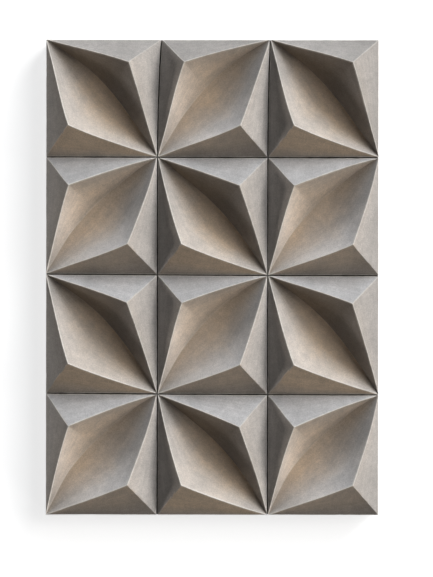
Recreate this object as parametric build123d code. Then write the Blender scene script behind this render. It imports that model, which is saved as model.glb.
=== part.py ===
from build123d import *
import os

# Decorative facade panel, one casting with a plain flat back.
# It lies on its back: X runs along the width, Y up the height, Z out of the relief.
# The origin is the centre of the back face. All sizes are in millimetres.

# The panel
panel_width = 700.0
panel_height = 1000.0
columns = 3
rows = 4
back_thickness = 45.0  # from the back face up to the borders of the modules

# The narrow open lines between neighbouring modules
joint_width = 2.4
joint_depth = 6.0

# The flanks of one module rise from its four borders to two peaks
peak_rise = 46.0
upper_inset_x = 57.0  # the upper peak from its upright border
upper_inset_y = 57.0  # the upper peak from the top border
lower_inset_x = 56.0  # the lower peak from its upright border
lower_inset_y = 68.0  # the lower peak from the bottom border
ridge_bow = 3.0  # how far the long ridges bend towards the borders

# The scoop runs from tip to tip, its lowest line bent towards the upper peak
crease_bulge = 27.0  # middle of the crease from the line between the tips
crease_drop = 20.0  # middle of the crease below the border
tip_drop = 0.5  # ends of the crease below the border
wall_slope = 0.75  # the short wall beside the middle of the crease, under the upper peak
sweep_slope = 0.0  # the broad sweep beside the middle of the crease, over the lower peak

# The cutters that hollow the scoop
cutter_overrun = 60.0  # past the ridges
cutter_headroom = 10.0  # over the uncut block
near_tip = 0.02  # share of half a leaf at which the slope at its tip is measured

module_width = (panel_width - (columns - 1) * joint_width) / columns
module_height = (panel_height - (rows - 1) * joint_width) / rows
half_width = module_width / 2
half_height = module_height / 2

tip = Vector(-half_width, half_height, 0)
upper_peak = Vector(half_width - upper_inset_x, half_height - upper_inset_y, 0)
lower_peak = Vector(lower_inset_x - half_width, lower_inset_y - half_height, 0)
up = Vector(0, 0, 1)


def beside_diagonal(point):
    """Measure that is 0 on the line from tip to tip and grows to both sides of it."""
    return point.X * half_height + point.Y * half_width


# The line from peak to peak meets the line from tip to tip here, near the module's middle
crossing_share = beside_diagonal(upper_peak) / beside_diagonal(upper_peak - lower_peak)
crossing = upper_peak + (lower_peak - upper_peak) * crossing_share
across = (upper_peak - lower_peak).normalized()


def gable_apex(half_span, low_inset, high_inset):
    """Place and height where the two flanks of a gable meet."""
    place = half_span * (low_inset - high_inset) / (low_inset + high_inset)
    return place, peak_rise * (half_span + place) / low_inset


def gable(half_span, low_inset, high_inset, half_length, plane):
    """A block whose two flanks rise from its borders, low at the start of its axis."""
    outline = Polyline(
        (-half_span, -back_thickness),
        (half_span, -back_thickness),
        (half_span, 0),
        gable_apex(half_span, low_inset, high_inset),
        (-half_span, 0),
        close=True,
    )
    return extrude(plane * make_face(outline), half_length, both=True)


def block_top():
    """Height above the borders of the module before the scoop is cut, or more."""
    across_width = gable_apex(half_width, lower_inset_x, upper_inset_x)
    across_height = gable_apex(half_height, lower_inset_y, upper_inset_y)
    return max(across_width[1], across_height[1])


def flank_height(point):
    """Height above the borders of the flank that lies under a plan position."""
    from_left = (half_width + point.X) / lower_inset_x
    from_right = (half_width - point.X) / upper_inset_x
    from_bottom = (half_height + point.Y) / lower_inset_y
    from_top = (half_height - point.Y) / upper_inset_y
    return peak_rise * min(from_left, from_right, from_bottom, from_top)


def swell(place):
    """Parabola from 0 at the tip of the leaf to 1 at its middle."""
    return place * (2 - place)


def run_to_ridge(side, place):
    """Level distance from the crease to the ridge, side 1 for the wall and -1 for the sweep."""
    peak = upper_peak if side > 0 else lower_peak
    bow = ridge_bow * 4 * place * (1 - place)
    return (peak - crossing).length * place + bow - side * crease_bulge * swell(place)


def crease_point(end, place):
    """Point of the crease, end 1 from the upper left tip and -1 from the lower right one."""
    straight = tip * end + (crossing - tip * end) * place
    return straight + across * (crease_bulge * swell(place))


def section(end, side, place, middle_slope):
    """Three control points of the hollow line from the crease to just past the ridge."""
    measured = max(place, near_tip)
    run = run_to_ridge(side, measured)
    rise = flank_height(crease_point(end, measured) + across * (side * run))
    rise += crease_drop * swell(measured)
    tip_run = run_to_ridge(side, near_tip)
    tip_rise = flank_height(crease_point(end, near_tip) + across * (side * tip_run))
    tip_slope = (tip_rise + crease_drop * swell(near_tip)) / tip_run
    slope = tip_slope + (middle_slope - tip_slope) * swell(measured)
    hollow = (rise - slope * run) / run**2

    reach = run_to_ridge(side, place) + cutter_overrun
    drop = tip_drop + (crease_drop - tip_drop) * swell(place)
    start = crease_point(end, place) - up * drop
    outward = across * (side * reach)
    tangent_point = start + outward * 0.5 + up * (slope * reach / 2)
    finish = start + outward + up * (slope * reach + hollow * reach**2)
    return [start, tangent_point, finish]


def scoop_cutter(end, side, middle_slope):
    """Block over a quarter of the scoop, its underside doubly curved."""
    outer, half_way, inner = [section(end, side, place, middle_slope) for place in (0, 0.5, 1)]
    between = [b * 2 - (a + c) * 0.5 for a, b, c in zip(outer, half_way, inner)]
    underside = Face.make_bezier_surface([outer, between, inner])
    return Solid.extrude(underside, up * (crease_drop + block_top() + cutter_headroom))


def module_solid():
    """One module with its tips at the upper left and lower right corners."""
    block = gable(half_width, lower_inset_x, upper_inset_x, half_height, Plane.XZ)
    block = block & gable(half_height, lower_inset_y, upper_inset_y, half_width, Plane.YZ)
    cutters = []
    for end in (1, -1):
        cutters.append(scoop_cutter(end, 1, wall_slope))
        cutters.append(scoop_cutter(end, -1, sweep_slope))
    return block - cutters


def module_centre(column, row):
    """Middle of a module at the height of its borders, counted from the lower left."""
    x = (column - (columns - 1) / 2) * (module_width + joint_width)
    y = (row - (rows - 1) / 2) * (module_height + joint_width)
    return Vector(x, y, back_thickness)


def joint_webs():
    """Material at the foot of the open lines, from one edge of the panel to the other."""
    web_height = back_thickness - joint_depth
    webs = []
    for column in range(1, columns):
        x = (column - columns / 2) * (module_width + joint_width)
        webs.append(Pos(x, 0, web_height / 2) * Box(joint_width, panel_height, web_height))
    for row in range(1, rows):
        y = (row - rows / 2) * (module_height + joint_width)
        webs.append(Pos(0, y, web_height / 2) * Box(panel_width, joint_width, web_height))
    return webs


def panel_solid():
    """Modules of alternating hand on one back, the top left one with its tip outermost."""
    module = module_solid()
    mirrored = module.mirror(Plane.YZ)
    modules = []
    for row in range(rows):
        for column in range(columns):
            handed = module if (row + column) % 2 == 1 else mirrored
            modules.append(handed.moved(Location(module_centre(column, row))))
    return modules[0].fuse(*modules[1:], *joint_webs())


os.makedirs("parts", exist_ok=True)
panel = panel_solid()
export_step(panel, "parts/facade_panel.step")
print("volume", round(panel.volume), "size", panel.bounding_box().size)
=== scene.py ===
import math

import bmesh
import bpy
import numpy as np
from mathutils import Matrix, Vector, noise


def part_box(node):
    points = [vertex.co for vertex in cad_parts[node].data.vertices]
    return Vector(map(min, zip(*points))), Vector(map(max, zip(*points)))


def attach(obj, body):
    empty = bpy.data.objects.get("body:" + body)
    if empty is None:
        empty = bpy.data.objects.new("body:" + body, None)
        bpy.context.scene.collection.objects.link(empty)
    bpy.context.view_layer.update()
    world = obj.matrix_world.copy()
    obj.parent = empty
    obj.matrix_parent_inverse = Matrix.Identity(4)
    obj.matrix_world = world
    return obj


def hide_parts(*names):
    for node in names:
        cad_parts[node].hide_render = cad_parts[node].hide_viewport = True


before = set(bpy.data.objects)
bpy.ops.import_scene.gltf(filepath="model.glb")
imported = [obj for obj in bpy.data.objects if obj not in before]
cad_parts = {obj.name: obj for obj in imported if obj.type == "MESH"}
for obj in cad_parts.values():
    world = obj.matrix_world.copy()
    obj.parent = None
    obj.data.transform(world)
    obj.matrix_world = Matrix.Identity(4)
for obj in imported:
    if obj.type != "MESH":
        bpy.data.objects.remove(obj)  # the cast panel, lying on its back with the relief up
lowCorner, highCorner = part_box("facade_panel")
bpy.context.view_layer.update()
print("frame loaded:", [round(v, 4) for v in highCorner - lowCorner])

# the panel, with its sizes in metres
relief = {
    "columns": 3,
    "rows": 4,
    "backThickness": 0.045,  # up to the borders of the modules
    "jointWidth": 0.0024,
    "jointDepth": 0.006,
    "upperInsetX": 0.057,  # the upper peak from its upright border
    "upperInsetY": 0.057,  # and from its level one
    "lowerInsetX": 0.056,  # the lower peak from the same
    "lowerInsetY": 0.068,
    "ridgeBow": 0.003,  # how far the long ridges bend towards the borders
    "creaseBulge": 0.027,  # middle of the crease from the line between the tips
    "creaseDrop": 0.020,  # middle of the crease below the borders
    "wallSlope": 0.75,  # beside the middle of the crease, under the upper peak
    "sweepSlope": 0.0,  # the same over the lower peak
    "nearTip": 0.02,  # share of half a leaf at which the slope at its tip is measured
    "sweepEase": 0.40,  # share of half a leaf over which the sweep is rounded behind its peak
    "ridgeHold": 8,  # how late the rounded sweep turns back to the ridge
    # how finely the skin is divided
    "alongHalfLeaf": 38,
    "acrossWall": 20,
    "acrossSweep": 30,
    "acrossFlank": 15,
    "endCrowding": 0.5,  # 0 for even steps along the ridges, 1 for steps that crowd at their ends
    "arrisRows": (0.0009, 0.0026),  # distance of the close rows beside an edge
    "closeShare": 0.25,  # of a short line, the most that its close rows take
    "shortest": 1e-9,  # stands in for a length of nothing
    "sideLevels": 8,
    "weldDistance": 0.000002,
    "sharpAngle": 32.0,  # in degrees, from which an edge is shaded as a sharp one
    # how far the joints and the peaks stand off an even grid
    "uprightJoints": (0.0015, -0.0003),
    "topRowLean": (0.0080, 0.0048),  # of the upright joints at the upper end of the panel
    "levelJoints": (0.0033, 0.0038, 0.0017),  # from the bottom
    "levelLean": (0.0030, 0.0027, 0.0008),  # of the same joints at their left ends
    "peaksAcross": (-0.0049, -0.0026),  # the left and the right peaks of every column
    "peaksUp": (  # the lower and the upper peaks of each row, from the bottom
        (0.0002, -0.0040),
        (-0.0034, 0.0004),
        (-0.0042, -0.0046),
        (-0.0063, 0.0023),
    ),
    # the unevenness of the cast surface
    "swell": 0.00030,
    "swellScale": 17.0,
    "swellFractal": (1.0, 2.0, 3),  # fall-off, step in scale and number of octaves
    "ripple": 0.00011,
    "rippleScale": 62.0,
    "blunting": 0.00032,
    "bluntSpread": (0.7, 0.6),  # the usual share of it, and how far sand changes that share
    "sandScale": 210.0,
    "chip": 0.0011,
    "chipScale": 46.0,
    "chipOnset": 0.42,
    "chipSeed": (3, 1, 7),
    "edgeWidth": 0.0016,  # how far from an arris it is worn
    "leastWear": 0.05,  # wear below this share is left out
    "evenBack": 0.001,  # height over the back up to which the surface stays even
    "hipSpared": (0.0022, 0.0012),  # keeps the lines from the lower and upper peaks to their corners
    "crossingReach": 0.0060,  # how far from a crossing the joints stay clean
    "farOff": 0.1,  # written where there is no crease or arris near
    "moduleSeed": 11,  # for the random tone of each module
}

panelWidth = highCorner.x - lowCorner.x
panelHeight = highCorner.y - lowCorner.y
peakRise = highCorner.z - relief["backThickness"]
moduleWidth = (panelWidth - (relief["columns"] - 1) * relief["jointWidth"]) / relief["columns"]
moduleHeight = (panelHeight - (relief["rows"] - 1) * relief["jointWidth"]) / relief["rows"]
moduleRuns = ((relief["columns"], moduleWidth), (relief["rows"], moduleHeight))  # along X and Y
halfWidth = moduleWidth / 2
halfHeight = moduleHeight / 2
tipPlan = np.array([-halfWidth, halfHeight])
upperPeak = np.array([halfWidth - relief["upperInsetX"], halfHeight - relief["upperInsetY"]])
lowerPeak = np.array([relief["lowerInsetX"] - halfWidth, relief["lowerInsetY"] - halfHeight])
peakLine = upperPeak - lowerPeak
across = peakLine / np.hypot(*peakLine)  # from the lower peak to the upper one
besideTips = np.array([halfHeight, halfWidth])  # square to the line from tip to tip
crossing = upperPeak - peakLine * (upperPeak @ besideTips) / (peakLine @ besideTips)


def crowded(count):
    # steps from 0 to 1 that lie closer at both ends
    even = np.linspace(0, 1, count + 1)
    ends = 0.5 - 0.5 * np.cos(math.pi * even)
    return even + (ends - even) * relief["endCrowding"]


def swell(place):
    # a parabola from 0 at the tip of the leaf to 1 at its middle
    return place * (2 - place)


def eased(share):
    # from 0 to 1 without a sudden start or end
    return share**2 * (3 - 2 * share)


def runToRidge(side, place):
    # level distance from the crease to the ridge, side 1 for the wall and -1 for the sweep
    reach = np.hypot(*((upperPeak if side > 0 else lowerPeak) - crossing))
    bow = relief["ridgeBow"] * 4 * place * (1 - place)
    return reach * place + bow - side * relief["creaseBulge"] * swell(place)


def flankHeight(plan):
    # height of the four flanks above the borders
    x, y = plan[..., 0], plan[..., 1]
    sideways = np.minimum(
        (halfWidth + x) / relief["lowerInsetX"], (halfWidth - x) / relief["upperInsetX"]
    )
    upright = np.minimum(
        (halfHeight + y) / relief["lowerInsetY"], (halfHeight - y) / relief["upperInsetY"]
    )
    return peakRise * np.minimum(sideways, upright)


def creasePlan(end, place):
    # the crease as seen from above, end 1 from the upper tip and -1 from the lower one
    place = np.asarray(place, float)[..., None]
    straight = tipPlan * end + (crossing - tipPlan * end) * place
    return straight + across * (relief["creaseBulge"] * swell(place))


def riseToRidge(end, side, place):
    # how far the ridge lies above the crease
    plan = creasePlan(end, place) + across * (side * runToRidge(side, place))[..., None]
    return flankHeight(plan) + relief["creaseDrop"] * swell(place)


def fromEdge(lengths, rows):
    # shares from 0 to 1 along lines of the given lengths, with close rows before the far end
    limit = relief["closeShare"]
    close = [distance / np.maximum(lengths, relief["shortest"]) for distance in relief["arrisRows"]]
    close = [np.minimum(share, limit / (index + 1)) for index, share in enumerate(close[::-1])]
    inner = 1 - close[0]
    steps = np.linspace(0, 1, rows - 1)
    body = inner[:, None] * steps[None, :]
    return np.concatenate([body, 1 - close[1][:, None], np.ones((len(lengths), 1))], axis=1)


def sectionCurve(end, side, place):
    # slope at the crease and hollow of the line from the crease to the ridge
    middleSlope = relief["wallSlope"] if side > 0 else relief["sweepSlope"]
    nearTip = np.array([relief["nearTip"]])
    tipSlope = (riseToRidge(end, side, nearTip) / runToRidge(side, nearTip))[0]
    slope = tipSlope + (middleSlope - tipSlope) * swell(place)
    run = runToRidge(side, place)
    return slope, (riseToRidge(end, side, place) - slope * run) / run**2


def easedHollow(end, side, place):
    # the hollow without the fold that would run inwards from the lower peak
    width = relief["sweepEase"]
    late = np.maximum(place - (1 - width), 0)
    hollow = sectionCurve(end, side, place - late**2 / (2 * width))[1]
    middle = [sectionCurve(half, side, np.array([1 - width / 2]))[1][0] for half in (1, -1)]
    own = middle[0] if end > 0 else middle[1]
    return hollow + (sum(middle) / 2 - own) * eased(late / width)


def leafGrid(end, side):
    # a quarter of the scoop, from the crease to the ridge, rows from the tip to the middle
    place = crowded(relief["alongHalfLeaf"])
    measured = np.maximum(place, relief["nearTip"])
    slope, hollow = sectionCurve(end, side, measured)
    body = hollow if side > 0 else easedHollow(end, side, measured)

    reach = runToRidge(side, place)
    share = fromEdge(reach, relief["acrossWall"] if side > 0 else relief["acrossSweep"])
    distance = reach[:, None] * share
    plan = creasePlan(end, place)[:, None, :] + across * (side * distance)[..., None]
    drop = relief["creaseDrop"] * swell(place)[:, None]
    rise = slope[:, None] * distance + body[:, None] * distance**2
    rest = (hollow - body) * runToRidge(side, measured) ** 2
    height = rise - drop + rest[:, None] * share ** relief["ridgeHold"]
    height[:, -1] = flankHeight(plan[:, -1])
    return np.dstack([plan, height]), place, share


def flankGrid(end, side, ridge):
    # a flank, from the ridge down to the border, rows from the tip to the peak
    place = crowded(relief["alongHalfLeaf"])[:, None]
    tip = np.array([*(tipPlan * end), 0])
    corner = np.array([halfWidth * side, halfHeight * side, 0])
    border = tip + (corner - tip) * place
    lengths = np.linalg.norm(border - ridge, axis=1)
    # close rows beside the border, and the same turned round for those beside the ridge
    nearBorder = fromEdge(lengths, relief["acrossFlank"] + 1)
    share = np.where(nearBorder < 0.5, 1 - nearBorder[:, ::-1], nearBorder)
    share[:, 0] = 0
    share[:, -1] = 1
    return ridge[:, None, :] + (border - ridge)[:, None, :] * share[..., None], share


def addGrid(soup, points, marks, flip):
    # puts a grid of quads into the soup, with the marks that its points carry
    count, width = points.shape[:2]
    base = soup["size"]
    index = base + np.arange(count * width).reshape(count, width)
    quads = np.stack([index[:-1, :-1], index[1:, :-1], index[1:, 1:], index[:-1, 1:]], axis=-1)
    quads = quads.reshape(-1, 4)
    soup["quads"].append(quads[:, ::-1] if flip else quads)
    soup["points"].append(points.reshape(-1, 3))
    for name, value in marks.items():
        soup[name].append(np.broadcast_to(value, (count, width)).reshape(-1))
    soup["size"] += count * width


# what the points of the skin tell the material about where they are
markNames = (
    "leaf",  # 1 in the scoops
    "fromArris",  # distance from the nearest arris
    "fromCrease",  # distance from the crease of a scoop
    "foot",  # 0 at a ridge, 1 at the border of a module and below it
    "along",  # 0 at the upper tip of a module, 1 at its lower tip
    "sideways",  # 0 from the lower ridge outwards, 0.5 at the crease, 1 from the upper ridge
    "under",  # 1 on the flank below the lower peak
    "upright",  # 1 on the left and right flanks
    "groove",  # 1 in the joints, 0 where they cross
    "hand",  # 0 where the upper tip is on the right, 1 where it is on the left
    "shade",  # a random number for each module
)


def newSoup():
    soup = {"points": [], "quads": [], "size": 0}
    for name in markNames:
        soup[name] = []
    return soup


def plainMarks():
    marks = dict.fromkeys(markNames, 0.0)
    marks["fromArris"] = marks["fromCrease"] = relief["farOff"]
    return marks


def fromHip(plan, side):
    # level distance from the line that runs from a peak to its corner
    peak = upperPeak if side > 0 else lowerPeak
    way = np.array([halfWidth, halfHeight]) * side - peak
    offset = plan - peak
    return abs(offset[..., 0] * way[1] - offset[..., 1] * way[0]) / np.hypot(*way)


def moduleSoup():
    # the face of a module with its tips at the upper left and the lower right
    soup = newSoup()
    for end in (1, -1):
        for side in (1, -1):
            points, place, share = leafGrid(end, side)
            reach = runToRidge(side, place)[:, None]
            lengthwise = 0.5 * (1 - end * (1 - place))[:, None]
            marks = plainMarks()
            marks["leaf"] = 1.0
            marks["fromArris"] = (1 - share) * reach
            marks["fromCrease"] = share * reach
            marks["along"] = lengthwise
            marks["sideways"] = 0.5 * (1 + side * share)
            addGrid(soup, points, marks, flip=end * side > 0)
            flank, share = flankGrid(end, side, points[:, -1])
            lengths = np.linalg.norm(flank[:, -1] - flank[:, 0], axis=1)[:, None]
            marks = plainMarks()
            nearest = np.minimum(share, 1 - share) * lengths
            spared = relief["hipSpared"][0 if side < 0 else 1]
            marks["fromArris"] = np.minimum(nearest, fromHip(flank[..., :2], side) + spared)
            marks["foot"] = share
            marks["along"] = lengthwise
            marks["sideways"] = 0.5 + 0.5 * side
            marks["under"] = 1.0 if (end, side) == (-1, -1) else 0.0
            marks["upright"] = 1.0 if end != side else 0.0
            addGrid(soup, flank, marks, flip=end * side > 0)
    return soup


def placeModules(cast):
    # the modules in rows and columns, every second one mirrored
    module = moduleSoup()
    points = np.concatenate(module["points"])
    quads = np.concatenate(module["quads"])
    chance = np.random.default_rng(relief["moduleSeed"])
    for row in range(relief["rows"]):
        for column in range(relief["columns"]):
            x = (column - (relief["columns"] - 1) / 2) * (moduleWidth + relief["jointWidth"])
            y = (row - (relief["rows"] - 1) / 2) * (moduleHeight + relief["jointWidth"])
            mirrored = (row + column) % 2 == 0
            moved = points * ([-1, 1, 1] if mirrored else [1, 1, 1])
            cast["points"].append(moved + [x, y, relief["backThickness"]])
            cast["quads"].append((quads[:, ::-1] if mirrored else quads) + cast["size"])
            own = {"hand": 0.0 if mirrored else 1.0, "shade": chance.uniform(0, 1)}
            for name in markNames:
                cast[name] += [np.full(len(points), own[name])] if name in own else module[name]
            cast["size"] += len(points)


def borderLines():
    # the places along X and Y where the skin's border points lie, one array for each module
    place = crowded(relief["alongHalfLeaf"])
    lines = []
    for count, size in moduleRuns:
        starts = [(k - count / 2) * (size + relief["jointWidth"]) for k in range(count)]
        lines.append([start + relief["jointWidth"] / 2 + size * place for start in starts])
    return lines


def awayFromCrossing(points):
    # 0 at a corner of a module, 1 a few millimetres along the joint
    offsets = []
    for part, (count, size) in enumerate(moduleRuns):
        pitch = size + relief["jointWidth"]
        steps = points[..., part] / pitch + count / 2
        offsets.append(abs(steps - np.round(steps)) * pitch)
    return np.clip(np.hypot(*offsets) / relief["crossingReach"], 0, 1)


def wallGrid(cast, xs, ys, levels, flip):
    # an upright strip below a line of border points, in a joint or on the outside
    xs, ys = np.broadcast_arrays(xs, ys)
    points = np.zeros((len(xs), len(levels), 3))
    points[..., 0] = xs[:, None]
    points[..., 1] = ys[:, None]
    points[..., 2] = levels[None, :]
    marks = plainMarks()
    marks["fromArris"] = relief["backThickness"] - levels
    marks["foot"] = 1.0
    if levels[-1] > 0:  # the walls of a joint end above the back
        marks["groove"] = awayFromCrossing(points)
    addGrid(cast, points, marks, flip)


def flatGrid(cast, xs, ys, level):
    # the foot of a joint
    points = np.zeros((len(xs), len(ys), 3))
    points[..., 0] = xs[:, None]
    points[..., 1] = ys[None, :]
    points[..., 2] = level
    marks = plainMarks()
    marks["foot"] = 1.0
    marks["groove"] = awayFromCrossing(points)
    addGrid(cast, points, marks, flip=False)


def addJointsAndSides(cast):
    xLines, yLines = borderLines()
    top = relief["backThickness"]
    floor = top - relief["jointDepth"]
    groove = np.array([top, floor])
    outer = np.concatenate([[top], np.linspace(floor, 0, relief["sideLevels"])])
    for column, xs in enumerate(xLines):
        for row, ys in enumerate(yLines):
            left = outer if column == 0 else groove
            right = outer if column == len(xLines) - 1 else groove
            bottom = outer if row == 0 else groove
            upper = outer if row == len(yLines) - 1 else groove
            wallGrid(cast, xs[0], ys, left, flip=False)
            wallGrid(cast, xs[-1], ys, right, flip=True)
            wallGrid(cast, xs, ys[0], bottom, flip=True)
            wallGrid(cast, xs, ys[-1], upper, flip=False)
    # the foot of the joints, their crossings, and the outer side below their ends
    xGaps, yGaps = (
        [np.array([before[-1], after[0]]) for before, after in zip(lines, lines[1:])]
        for lines in (xLines, yLines)
    )
    for xs in xLines:
        for gap in yGaps:
            flatGrid(cast, xs, gap, floor)
    for ys in yLines:
        for gap in xGaps:
            flatGrid(cast, gap, ys, floor)
    for xGap in xGaps:
        for yGap in yGaps:
            flatGrid(cast, xGap, yGap, floor)
        wallGrid(cast, xGap, yLines[0][0], outer[1:], flip=True)
        wallGrid(cast, xGap, yLines[-1][-1], outer[1:], flip=False)
    for yGap in yGaps:
        wallGrid(cast, xLines[0][0], yGap, outer[1:], flip=False)
        wallGrid(cast, xLines[-1][-1], yGap, outer[1:], flip=True)


def jointEdges(count, size):
    # both edges of every joint across one direction, between the outer sides
    lines = []
    for joint in range(1, count):
        middle = (joint - count / 2) * (size + relief["jointWidth"])
        lines += [middle - relief["jointWidth"] / 2, middle + relief["jointWidth"] / 2]
    half = count * size / 2 + (count - 1) * relief["jointWidth"] / 2
    return [-half, *lines, half]


def shiftsAt(joints):
    # the shift of each of those edges, with none at the outer sides
    return [0, *[shift for joint in joints for shift in (joint, joint)], 0]


def peakShifts(values, edges, insets, shifts):
    # moves the two peaks between each pair of borders, and eases off to nothing at the borders
    places, steps = [], []
    for low, high, pair in zip(edges[::2], edges[1::2], shifts):
        places += [low, low + insets[0], high - insets[1], high]
        steps += [0, *pair, 0]
    count = np.arange(len(places))
    along = np.interp(values, places, count)
    whole = np.floor(along)
    part = along - whole
    return np.interp(whole + eased(part), count, steps)


def handSetPlan(points):
    # moves joints and peaks off the even grid, as moulds set and cut by hand leave them
    columnEdges, rowEdges = (jointEdges(count, size) for count, size in moduleRuns)
    x, y = points[:, 0], points[:, 1]
    inTopRow = np.interp(y, [rowEdges[-2], rowEdges[-1]], [0, 1])
    even = np.interp(x, columnEdges, shiftsAt(relief["uprightJoints"]))
    lean = np.interp(x, columnEdges, shiftsAt(relief["topRowLean"]))
    inset = (relief["lowerInsetX"] + relief["upperInsetX"]) / 2
    pairs = [relief["peaksAcross"]] * relief["columns"]
    moved = points.copy()
    moved[:, 0] += even + lean * inTopRow**2 + peakShifts(x, columnEdges, (inset, inset), pairs)
    towardsLeft = np.interp(x, [columnEdges[0], columnEdges[-1]], [1, 0])
    moved[:, 1] += np.interp(y, rowEdges, shiftsAt(relief["levelJoints"]))
    moved[:, 1] += np.interp(y, rowEdges, shiftsAt(relief["levelLean"])) * towardsLeft**2
    insets = (relief["lowerInsetY"], relief["upperInsetY"])
    moved[:, 1] += peakShifts(y, rowEdges, insets, relief["peaksUp"])
    return moved


def weldedMesh(cast):
    # joins the grids to one skin and closes it with one face at the back
    mesh = bpy.data.meshes.new("facadePanel")
    points = handSetPlan(np.concatenate(cast["points"]))
    quads = np.concatenate(cast["quads"])
    mesh.from_pydata(points.tolist(), [], quads.tolist())
    for name in markNames:
        mark = mesh.attributes.new(name, "FLOAT", "POINT")
        mark.data.foreach_set("value", np.concatenate(cast[name]).astype(np.float32))
    work = bmesh.new()
    work.from_mesh(mesh)
    bmesh.ops.remove_doubles(work, verts=work.verts, dist=relief["weldDistance"])
    rim = [edge for edge in work.edges if edge.is_boundary]
    bmesh.ops.contextual_create(work, geom=rim)
    bmesh.ops.recalc_face_normals(work, faces=work.faces)
    openEdges = [edge for edge in work.edges if not edge.is_manifold]
    print("skin:", len(work.verts), "points,", len(work.faces), "faces, open edges", len(openEdges))
    work.to_mesh(mesh)
    work.free()
    return mesh


def unevenness(place, edge):
    # how far the cast surface stands off the true one at a point, and how far its edges are worn
    offset = relief["swell"] * noise.fractal(place * relief["swellScale"], *relief["swellFractal"])
    offset += relief["ripple"] * noise.noise(place * relief["rippleScale"])
    if edge > relief["leastWear"]:
        chipping = noise.noise(place * relief["chipScale"] + Vector(relief["chipSeed"]))
        chipping = max(0, chipping - relief["chipOnset"]) / (1 - relief["chipOnset"])
        usual, spread = relief["bluntSpread"]
        sand = usual + spread * noise.noise(place * relief["sandScale"])
        offset -= edge * (relief["blunting"] * sand + relief["chip"] * chipping)
    return offset


def weatherSurface(mesh):
    edges = np.zeros(len(mesh.vertices), np.float32)
    mesh.attributes["fromArris"].data.foreach_get("value", edges)
    edges = np.exp(-((edges / relief["edgeWidth"]) ** 2))
    moved = []
    for vertex, edge in zip(mesh.vertices, edges):
        place = vertex.co
        if place.z > relief["evenBack"]:
            place = place + vertex.normal * unevenness(place, edge)
        moved.append((place.x, place.y, place.z))
    moved = np.clip(np.array(moved), list(lowCorner), list(highCorner))
    mesh.vertices.foreach_set("co", moved.astype(np.float32).ravel())
    mesh.update()


cast = newSoup()
placeModules(cast)
addJointsAndSides(cast)
panelMesh = weldedMesh(cast)
weatherSurface(panelMesh)
panel = bpy.data.objects.new("facadePanel", panelMesh)
bpy.context.scene.collection.objects.link(panel)
panelMesh.shade_smooth()
panelMesh.set_sharp_from_angle(angle=math.radians(relief["sharpAngle"]))
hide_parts("facade_panel")
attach(panel, "root")
print("panel built")


# fixed values of the shaders
noiseRange = (0.3, 0.7)  # most of a noise lies between these
noiseMiddle = 0.5
creaseAt = 0.5  # place of the crease between the lower ridge at 0 and the upper one at 1
curveTop = 2.0  # the largest value that a curve may have
white = (1, 1, 1, 1)


# a Tap is one socket, and expressions on Taps add their Math nodes
class Tap:
    def __init__(self, bench, socket):
        self.bench = bench
        self.socket = socket

    def maths(self, operation, first, second=None, clamp=False):
        settings = {"operation": operation, "use_clamp": clamp}
        values = [first] if second is None else [first, second]
        return self.bench.node("Math", settings, dict(enumerate(values)))

    def __add__(self, other):
        return self.maths("ADD", self, other)

    __radd__ = __add__

    def __sub__(self, other):
        return self.maths("SUBTRACT", self, other)

    def __rsub__(self, other):
        return self.maths("SUBTRACT", other, self)

    def __truediv__(self, other):
        return self.maths("DIVIDE", self, other)

    def __rtruediv__(self, other):
        return self.maths("DIVIDE", other, self)

    def __mul__(self, other):
        return self.maths("MULTIPLY", self, other)

    __rmul__ = __mul__

    def clamped(self):
        return self.maths("ADD", self, 0.0, clamp=True)

    def bell(self, width):
        # 1 where the value is 0, falling to nothing about a width away
        share = self / width
        return self.maths("EXPONENT", share * share * -1)


# a Bench is one node tree, and its methods add the other nodes
class Bench:
    def __init__(self, tree):
        self.tree = tree
        self.tree.nodes.clear()

    def node(self, kind, settings=None, sockets=None, output=0):
        made = self.tree.nodes.new("ShaderNode" + kind)
        for name, value in (settings or {}).items():
            if name == "stops":
                self.setStops(made.color_ramp, value)
            else:
                setattr(made, name, value)
        for name, value in (sockets or {}).items():
            target = made.inputs[name]
            if isinstance(value, Tap):
                self.tree.links.new(value.socket, target)
            else:
                target.default_value = value
        return Tap(self, made.outputs[output]) if made.outputs else made

    def setStops(self, ramp, stops):
        while len(ramp.elements) < len(stops):
            ramp.elements.new(1.0)
        for element, (place, colour) in zip(ramp.elements, stops):
            element.position = place
            element.color = (*colour, 1)

    def mark(self, name):
        return self.node("Attribute", {"attribute_name": name}, output="Fac")

    def place(self):
        return self.node("TexCoord", output="Object")

    def split(self, place):
        # the first two parts of a place
        parts = self.node("SeparateXYZ", {}, {"Vector": place}).socket.node.outputs
        return Tap(self, parts["X"]), Tap(self, parts["Y"])

    def mottle(self, place, scale, detail, roughness):
        sockets = {"Vector": place, "Scale": scale, "Detail": detail, "Roughness": roughness}
        return self.node("TexNoise", {}, sockets, output="Fac")

    def between(self, value, low, high, start=0.0, end=1.0):
        sockets = {"Value": value, "From Min": low, "From Max": high, "To Min": start, "To Max": end}
        return self.node("MapRange", {"interpolation_type": "SMOOTHSTEP"}, sockets)

    def patchy(self, value, spread):
        # a mottle turned into a tone between two limits
        return self.between(value, *noiseRange, *spread)

    def blend(self, amount, first, second):
        # sockets 0, 6 and 7 are the factor and the two colours, and output 2 is their mixture
        return self.node("Mix", {"data_type": "RGBA"}, {0: amount, 6: first, 7: second}, output=2)

    def shaded(self, colour, tone):
        # a colour times a number
        return self.node("VectorMath", {"operation": "SCALE"}, {0: colour, "Scale": tone})

    def curve(self, value, stops):
        # through pairs of place and value, which a ramp holds as shares because it ends at 1
        grey = [(place, [level / curveTop] * 3) for place, level in stops]
        return self.node("ValToRGB", {"stops": grey}, {"Fac": value}) * curveTop


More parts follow.
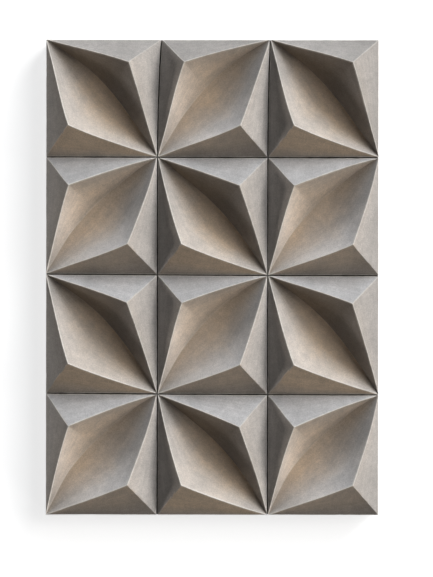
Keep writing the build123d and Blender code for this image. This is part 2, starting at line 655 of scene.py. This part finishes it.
# the concrete; curves are pairs of place and value, and where there are two, the first is for
# the modules with their upper tip on the right
concrete = {
    "bare": (0.538, 0.506, 0.480, 1),
    "patina": (0.605, 0.474, 0.350, 1),
    # a cool grey, painted where cool light falls on the flank above the leaf and on the sweep
    "paintedCoolLight": (0.510, 0.507, 0.516, 1),
    # a light colour for worn arrises and the crease, partly painted highlight
    "wornAndHighlight": (0.92, 0.87, 0.80, 1),
    "jointDark": (0.16, 0.14, 0.12, 1),
    # brown patina from the lower ridge over the crease at 0.5 to the upper ridge
    "patinaAcross": (
        ((0, 0.05), (0.12, 0.10), (0.25, 0.42), (0.42, 0.95), (0.52, 1.0), (0.72, 1.02), (1, 0.72)),
        ((0, 0.24), (0.12, 0.30), (0.25, 0.58), (0.42, 1.12), (0.50, 1.0), (0.72, 0.90), (1, 0.60)),
    ),
    # and from the upper tip to the lower one
    "patinaOnSweep": (
        ((0, 0.45), (0.14, 0.80), (0.5, 1.0), (0.70, 1.0), (0.86, 0.62), (1, 0.50)),
        ((0, 0.40), (0.20, 0.62), (0.5, 1.10), (0.70, 1.45), (0.84, 0.95), (0.94, 0.40)),
    ),
    "patinaOnWall": (
        ((0, 0.55), (0.20, 0.70), (0.45, 0.84), (0.70, 0.54), (0.86, 0.32), (1, 0.26)),
        ((0, 0.80), (0.20, 1.0), (0.40, 0.85), (0.56, 0.36), (1, 0.30)),
    ),
    "patinaUnder": (0.64, 1.14),  # on the flank below the lower peak
    "underFade": ((0, 1.15), (0.5, 1.0), (1, 0.40)),  # from the ridge down to the foot
    "uprightFade": ((0, 0.26), (0.3, 0.15), (1, 0.03)),  # the same on the left and right flanks
    "topPaintedCoolLight": 0.64,  # painted cool light on the flank above the leaf
    # painted shade on the flanks along the panel's upper and right edges, from these places in metres
    "rimTop": {"onset": (0.430, 0.442), "tone": 0.80, "paintedCoolLight": 0.0},
    "rimRight": {"onset": (0.290, 0.296), "tone": 0.93},
    # painted cool light on the sweep beside the lower ridge, from the upper tip to the lower one
    "sweepPaintedCoolLight": ((0, 0.0), (0.30, 0.28), (0.48, 0.75), (0.64, 0.35), (0.82, 0.0)),
    "paintedCoolLightReach": 0.26,  # from the lower ridge, on those with their upper tip on the right
    # painted light and shade, as tones from the upper tip to the lower one
    "wallPaintedShading": (
        ((0, 1.03), (0.12, 1.13), (0.25, 1.07), (0.50, 1.24), (0.68, 1.36), (0.80, 1.05), (0.92, 0.76)),
        ((0, 0.40), (0.20, 0.51), (0.35, 0.54), (0.55, 0.50), (0.72, 0.60), (0.88, 1.08), (1, 0.95)),
    ),
    "sweepPaintedShading": (
        ((0, 0.74), (0.15, 0.88), (0.35, 0.95), (0.50, 1.14), (0.70, 1.20), (0.88, 1.00), (1, 0.84)),
        ((0, 0.58), (0.12, 0.72), (0.20, 0.85), (0.35, 0.98), (0.50, 1.08), (0.80, 1.05), (1, 0.86)),
    ),
    # painted light and shade, as tones from the lower ridge over the crease at 0.5 to the upper ridge
    "paintedShadingAcross": (
        ((0, 1.10), (0.20, 1.05), (0.36, 0.98), (0.497, 0.93), (0.503, 1.06), (0.75, 1.04), (1, 0.94)),
        ((0, 1.02), (0.20, 0.98), (0.36, 0.97), (0.497, 1.22), (0.503, 0.92), (0.60, 0.97), (1, 1.0)),
    ),
    # how much darker the sweep is beside the crease, from the upper tip to the lower one
    "creaseShade": (
        ((0, 0.10), (0.18, 0.20), (0.38, 0.05), (0.58, 0.10), (0.80, 0.14), (1, 0.12)),
        ((0, 0.36), (0.12, 0.46), (0.20, 0.39), (0.32, 0.18), (0.50, 0.04), (0.75, 0.0), (0.92, 0.42)),
    ),
    "creaseShadeOnWall": (  # the same on the wall
        ((0, 0.0), (0.15, 0.06), (0.28, 0.26), (0.44, 0.28), (0.60, 0.20), (0.70, 0.0)),
        ((0, 0.0), (0.80, 0.0), (0.92, 0.10), (1, 0.10)),
    ),
    # how far that reaches, as shares of the leaf: on the sweep along the leaf, and on the wall
    "creaseShadeReach": ((0, 0.42), (0.20, 0.34), (0.36, 0.27), (0.60, 0.24), (0.76, 0.28), (1, 0.42)),
    "wallShadeReach": 0.18,
    # painted light and shade on the flanks, as tones from the ridge down to the foot
    "topPaintedShading": ((0, 1.04), (0.30, 1.02), (0.65, 0.99), (1, 0.97)),
    "topShadingPerHand": (0.96, 1.08),  # and times this for each hand of module, painted light
    "rightPaintedShading": ((0, 1.05), (0.30, 1.02), (0.65, 0.96), (1, 0.93)),
    "rightShadingAlong": ((0, 1.0), (0.50, 1.03), (0.68, 0.94), (1, 0.94)),
    "leftPaintedShade": (
        ((0, 0.80), (0.30, 0.88), (0.65, 0.98), (1, 1.04)),
        ((0, 0.62), (0.30, 0.68), (0.65, 0.76), (1, 0.82)),
    ),
    "underPaintedShade": (
        ((0, 1.04), (0.35, 0.89), (0.70, 0.69), (1, 0.60)),
        ((0, 1.14), (0.35, 1.05), (0.70, 0.91), (1, 0.80)),
    ),
    "cloud": {"scale": 13.0, "detail": 5.0, "roughness": 0.60, "tone": (0.91, 1.08)},
    "mottle": {"scale": 75.0, "detail": 6.0, "roughness": 0.65, "tone": (0.93, 1.07)},
    "grain": {"scale": 430.0, "detail": 3.0, "roughness": 0.60, "tone": (0.88, 1.12)},
    "brush": {
        "along": 5.0,
        "onLeaf": 34.0,
        "onFlank": 14.0,
        "scale": 1.0,
        "detail": 4.0,
        "roughness": 0.6,
        "moduleStep": 37.0,  # so far apart that no two modules have the same strokes
        "tone": (0.95, 1.05),
    },
    "moduleTone": (0.95, 1.03),
    "patinaPatchy": (0.85, 1.10),
    "patinaWander": (0.20, 0.12),  # how far clouds push the patina across and along
    "wallOnset": (0.496, 0.505),  # where the tone turns at the crease
    "roughness": 0.74,
    "roughSpread": 0.16,
    "specular": 0.35,
    # worn arrises and crease, also painted highlight on them
    "arrisWidth": 0.0018,
    "arrisWearAndHighlight": 1.0,
    "arrisPatchy": (0.55, 1.0),
    "arrisPolish": 0.08,
    "creaseWidth": 0.0013,
    "creaseWearAndHighlight": ((0, 0.05), (0.35, 0.09), (0.60, 0.15), (0.85, 0.26), (1, 0.24)),
    "creasePatchy": (0.4, 1.0),
    "jointOnset": (0.92, 1.06),  # where the darkening at the foot of the flanks begins and is full
    "jointRagged": 0.1,
    "jointFootDarkening": 0.14,
    "grooveGrime": 0.85,
    "bumpShares": {"brush": 0.5, "mottle": 0.6, "grain": 0.6},
    "bumpStrength": 0.5,
    "bumpDistance": 0.0007,
}


def mixed(share, high, low):
    # the first value where the share is 1, the second where it is 0
    return share * high + (1 - share) * low


def wander(value, reach):
    # a noise turned into a shift to both sides
    return (value - noiseMiddle) * reach


def handed(marks, values):
    # the first value where the upper tip is on the right, the second where it is on the left
    left, right = values
    return marks["hand"] * (right - left) + left


def handedCurve(bench, marks, mark, kind):
    # a curve over one mark, with its own course for each hand
    left, right = (bench.curve(marks[mark], curve) for curve in concrete[kind])
    return mixed(marks["hand"], right, left)


def wallOrSweep(bench, marks, wallKind, sweepKind):
    onWall = handedCurve(bench, marks, "lengthwise", wallKind)
    return mixed(marks["onWall"], onWall, handedCurve(bench, marks, "lengthwise", sweepKind))


def brushMarks(bench, marks, strokesAcross):
    # strokes that run from tip to tip, others on each module
    brush = concrete["brush"]
    module = (marks["shade"] + marks["hand"]) * brush["moduleStep"]
    stretched = {"X": marks["along"] * brush["along"], "Y": strokesAcross, "Z": module}
    place = bench.node("CombineXYZ", {}, stretched)
    return bench.mottle(place, brush["scale"], brush["detail"], brush["roughness"])


def surfaceMarks(bench):
    # the marks of the skin, with the noises and with what follows from both
    marks = {name: bench.mark(name) for name in markNames}
    place = bench.place()
    for kind in ("cloud", "mottle", "grain"):
        made = concrete[kind]
        marks[kind] = bench.mottle(place, made["scale"], made["detail"], made["roughness"])
    leaf = marks["leaf"]
    onLeaf = brushMarks(bench, marks, marks["sideways"] * concrete["brush"]["onLeaf"])
    onFlank = brushMarks(bench, marks, marks["foot"] * concrete["brush"]["onFlank"])
    marks["brush"] = mixed(leaf, onLeaf, onFlank)

    wanderAcross, wanderAlong = concrete["patinaWander"]
    marks["spread"] = marks["sideways"] + wander(marks["cloud"], wanderAcross)
    marks["lengthwise"] = marks["along"] + wander(marks["cloud"], wanderAlong)
    marks["onWall"] = bench.between(marks["sideways"], *concrete["wallOnset"])
    marks["top"] = (1 - marks["under"] - marks["upright"]) * (1 - marks["groove"])
    alongX, alongY = bench.split(place)
    rimTop = bench.between(alongY, *concrete["rimTop"]["onset"])
    marks["rimTop"] = rimTop * marks["top"] * (1 - leaf)
    marks["rimRight"] = bench.between(alongX, *concrete["rimRight"]["onset"]) * (1 - leaf)
    return marks


def patinaShare(bench, marks):
    inLeaf = handedCurve(bench, marks, "spread", "patinaAcross")
    inLeaf = inLeaf * wallOrSweep(bench, marks, "patinaOnWall", "patinaOnSweep")
    under = marks["under"] * handed(marks, concrete["patinaUnder"])
    under = under * bench.curve(marks["foot"], concrete["underFade"])
    upright = marks["upright"] * bench.curve(marks["foot"], concrete["uprightFade"])
    share = mixed(marks["leaf"], inLeaf, under + upright)
    return (share * bench.patchy(marks["cloud"], concrete["patinaPatchy"])).clamped()


# painted cool light on the sweep beside the lower ridge and on the flank above the leaf
def paintedCoolLightShare(bench, marks):
    onSweep = bench.between(marks["spread"], 0, concrete["paintedCoolLightReach"], start=1, end=0)
    onSweep = onSweep * (1 - marks["hand"])
    onSweep = onSweep * bench.curve(marks["lengthwise"], concrete["sweepPaintedCoolLight"])
    onTop = mixed(marks["rimTop"], concrete["rimTop"]["paintedCoolLight"], concrete["topPaintedCoolLight"])
    return mixed(marks["leaf"], onSweep, marks["top"] * onTop).clamped()


def creaseShade(bench, marks):
    # how much darker the scoop is beside its crease
    sideways = marks["sideways"]
    wallEnd = creaseAt + concrete["wallShadeReach"]
    onWall = handedCurve(bench, marks, "lengthwise", "creaseShadeOnWall")
    onWall = onWall * bench.between(sideways, creaseAt, wallEnd, start=1, end=0)
    reach = bench.curve(marks["lengthwise"], concrete["creaseShadeReach"])
    onSweep = handedCurve(bench, marks, "lengthwise", "creaseShade")
    onSweep = onSweep * bench.between((creaseAt - sideways) / reach, 0, 1, start=1, end=0)
    return mixed(marks["onWall"], onWall, onSweep)


# painted light and shade in the scoop
def leafPaintedShading(bench, marks):
    tone = wallOrSweep(bench, marks, "wallPaintedShading", "sweepPaintedShading")
    tone = tone * handedCurve(bench, marks, "sideways", "paintedShadingAcross")
    return tone * (1 - creaseShade(bench, marks))


# painted light and shade on the four flanks
def flankPaintedShading(bench, marks):
    foot, hand, sideways = marks["foot"], marks["hand"], marks["sideways"]
    top = bench.curve(foot, concrete["topPaintedShading"]) * handed(marks, concrete["topShadingPerHand"])
    toRight = bench.curve(foot, concrete["rightPaintedShading"])
    toRight = toRight * bench.curve(marks["along"], concrete["rightShadingAlong"])
    toLeft = handedCurve(bench, marks, "foot", "leftPaintedShade")
    # the right flank is beside the upper peak on one hand, and beside the lower one on the other
    upright = mixed(mixed(hand, sideways, 1 - sideways), toRight, toLeft)
    under = handedCurve(bench, marks, "foot", "underPaintedShade")
    return mixed(marks["under"], under, mixed(marks["upright"], upright, top))


# painted light and shade, times the random tone of each module and the mottle of the cast
def paintedShadingAndTone(bench, marks):
    tone = mixed(marks["leaf"], leafPaintedShading(bench, marks), flankPaintedShading(bench, marks))
    # painted shade on the flanks along the upper and right edges
    for rim in ("rimTop", "rimRight"):
        tone = tone * mixed(marks[rim], concrete[rim]["tone"], 1.0)
    tone = tone * bench.between(marks["shade"], 0, 1, *concrete["moduleTone"])
    for kind in ("cloud", "mottle", "grain", "brush"):
        tone = tone * bench.patchy(marks[kind], concrete[kind]["tone"])
    return tone


# darker at the foot of the flanks beside the joints, and dark in the joints
def jointDarkShare(bench, marks):
    foot = marks["foot"] * (1 - marks["leaf"]) + marks["mottle"] * concrete["jointRagged"]
    nearJoint = bench.between(foot, *concrete["jointOnset"]) * concrete["jointFootDarkening"]
    return (nearJoint + marks["groove"] * concrete["grooveGrime"]).clamped()


# wear and painted highlight along the arrises and the crease
def wearAndHighlightShare(bench, marks, arris):
    onArris = arris * bench.patchy(marks["mottle"], concrete["arrisPatchy"]) * concrete["arrisWearAndHighlight"]
    crease = marks["fromCrease"].bell(concrete["creaseWidth"]) * marks["leaf"]
    onCrease = crease * bench.patchy(marks["brush"], concrete["creasePatchy"])
    onCrease = onCrease * bench.curve(marks["along"], concrete["creaseWearAndHighlight"])
    return (onArris + onCrease).clamped()


def concreteMaterial():
    material = bpy.data.materials.new("castConcrete")
    material.use_nodes = True
    bench = Bench(material.node_tree)
    marks = surfaceMarks(bench)
    arris = marks["fromArris"].bell(concrete["arrisWidth"])

    colour = bench.blend(patinaShare(bench, marks), concrete["bare"], concrete["patina"])
    # painted cool light
    colour = bench.blend(paintedCoolLightShare(bench, marks), colour, concrete["paintedCoolLight"])
    # painted light and shade, with the tone and mottle of the cast
    colour = bench.shaded(colour, paintedShadingAndTone(bench, marks))
    colour = bench.blend(jointDarkShare(bench, marks), colour, concrete["jointDark"])
    # wear and painted highlight
    colour = bench.blend(wearAndHighlightShare(bench, marks, arris), colour, concrete["wornAndHighlight"])
    rough = concrete["roughness"] + wander(marks["mottle"], concrete["roughSpread"])

    height = sum(marks[kind] * share for kind, share in concrete["bumpShares"].items())
    bump = {
        "Strength": concrete["bumpStrength"],
        "Distance": concrete["bumpDistance"],
        "Height": height,
    }
    finish = {
        "Base Color": colour,
        "Roughness": rough - arris * concrete["arrisPolish"],
        "Normal": bench.node("Bump", {}, bump, output="Normal"),
        "Specular IOR Level": concrete["specular"],
    }
    surface = bench.node("BsdfPrincipled", {}, finish)
    bench.node("OutputMaterial", {}, {"Surface": surface})
    return material


panelMesh.materials.append(concreteMaterial())
print("concrete mixed")

# a lamp of strength 1 lights a face turned to it so that its colour renders as written
studio = {
    "floorColour": (0.82, 0.82, 0.82, 1),
    "floorGlow": 0.72,  # what the camera sees of the floor before the light on it
    "floorSize": 8.0,
    "roomLight": 0.0,  # what the white room adds to the light on the panel
    # azimuth, elevation, angle that the lamp fills, strength, colour
    "lamps": {
        "softboxHigh": (33.0, 34.0, 32.0, 0.33, (1.0, 1.0, 1.0)),
        "softboxCorner": (48.0, 18.0, 24.0, 0.50, (1.0, 1.0, 1.0)),
        "softboxRight": (8.0, 24.0, 24.0, 0.165, (1.03, 1.0, 0.96)),
        "softboxTop": (82.0, 12.0, 20.0, 0.20, (0.88, 1.0, 1.12)),
        "softboxBelow": (-38.0, 15.0, 20.0, 0.15, (1.02, 1.0, 0.97)),
        "reflectorCorner": (125.0, 14.0, 20.0, 0.05, (0.95, 1.0, 1.05)),
        "reflectorLeft": (180.0, 6.0, 10.0, 0.20, (1.05, 1.0, 0.95)),
    },
}


def seenDirectly(bench):
    # 1 for what the camera sees, also in a reflection or through glass
    seen = bench.node("LightPath", output="Is Camera Ray")
    seen = seen + bench.node("LightPath", output="Is Glossy Ray")
    return (seen + bench.node("LightPath", output="Is Transmission Ray")).clamped()


def addFloor():
    half = studio["floorSize"] / 2
    corners = [(-half, -half, 0), (half, -half, 0), (half, half, 0), (-half, half, 0)]
    mesh = bpy.data.meshes.new("studioFloor")
    mesh.from_pydata(corners, [], [(0, 1, 2, 3)])
    material = bpy.data.materials.new("paleFloor")
    material.use_nodes = True
    bench = Bench(material.node_tree)
    lit = bench.node("BsdfDiffuse", {}, {"Color": studio["floorColour"]})
    glow = bench.node("Emission", {}, {"Color": white, "Strength": studio["floorGlow"]})
    both = bench.node("AddShader", {}, {0: lit, 1: glow})
    floor = bench.node("MixShader", {}, {0: seenDirectly(bench), 1: lit, 2: both})
    bench.node("OutputMaterial", {}, {"Surface": floor})
    mesh.materials.append(material)
    piece = bpy.data.objects.new("studioFloor", mesh)
    bpy.context.scene.collection.objects.link(piece)


def addRoom():
    world = bpy.data.worlds.new("studioRoom")
    bpy.context.scene.world = world
    world.use_nodes = True
    bench = Bench(world.node_tree)
    dark = studio["roomLight"]
    strength = seenDirectly(bench) * (1 - dark) + dark
    room = bench.node("Background", {}, {"Color": white, "Strength": strength})
    bench.node("OutputWorld", {}, {"Surface": room})


def addLamp(name, azimuth, elevation, angle, strength, colour):
    lamp = bpy.data.lights.new(name, "SUN")
    lamp.angle = math.radians(angle)
    lamp.energy = strength * math.pi
    lamp.color = colour
    holder = bpy.data.objects.new(name, lamp)
    bpy.context.scene.collection.objects.link(holder)
    turn, lift = math.radians(azimuth), math.radians(elevation)
    way = Vector((math.cos(turn) * math.cos(lift), math.sin(turn) * math.cos(lift), math.sin(lift)))
    holder.location = way * studio["floorSize"] / 2
    holder.rotation_euler = way.to_track_quat("Z", "Y").to_euler()


def addLights():
    for name, lamp in studio["lamps"].items():
        addLamp(name, *lamp)


# the photograph's view: straight down, its axis through the middle of the picture
view = {
    "imageWidth": 433,
    "imageHeight": 577,
    "panelLeft": 45.9,  # the panel's outline in the photograph, in pixels
    "panelRight": 378.6,
    "panelTop": 39.8,
    "panelBottom": 514.8,
    "distance": 2.70,  # from the borders of the modules
    "roll": 0.07,  # the photograph leans to the right by so many degrees
    "sensor": 24.0,  # height, in millimetres
}


def addCamera():
    camera = bpy.data.cameras.new("photoCamera")
    holder = bpy.data.objects.new("photoCamera", camera)
    bpy.context.scene.collection.objects.link(holder)
    scale = panelHeight / (view["panelBottom"] - view["panelTop"])  # metres to a pixel
    toRight = (view["panelLeft"] + view["panelRight"]) / 2 - view["imageWidth"] / 2
    toBottom = (view["panelTop"] + view["panelBottom"]) / 2 - view["imageHeight"] / 2
    camera.sensor_fit = "VERTICAL"
    camera.sensor_height = view["sensor"]
    camera.lens = view["sensor"] * view["distance"] / (scale * view["imageHeight"])
    camera.shift_x = -toRight / view["imageHeight"]
    camera.shift_y = toBottom / view["imageHeight"]
    holder.location = (0, 0, relief["backThickness"] + view["distance"])
    holder.rotation_euler = (0, 0, math.radians(view["roll"]))
    bpy.context.scene.camera = holder


addFloor()
addRoom()
addLights()
addCamera()
bpy.context.scene.view_settings.view_transform = "Standard"
print("studio set")
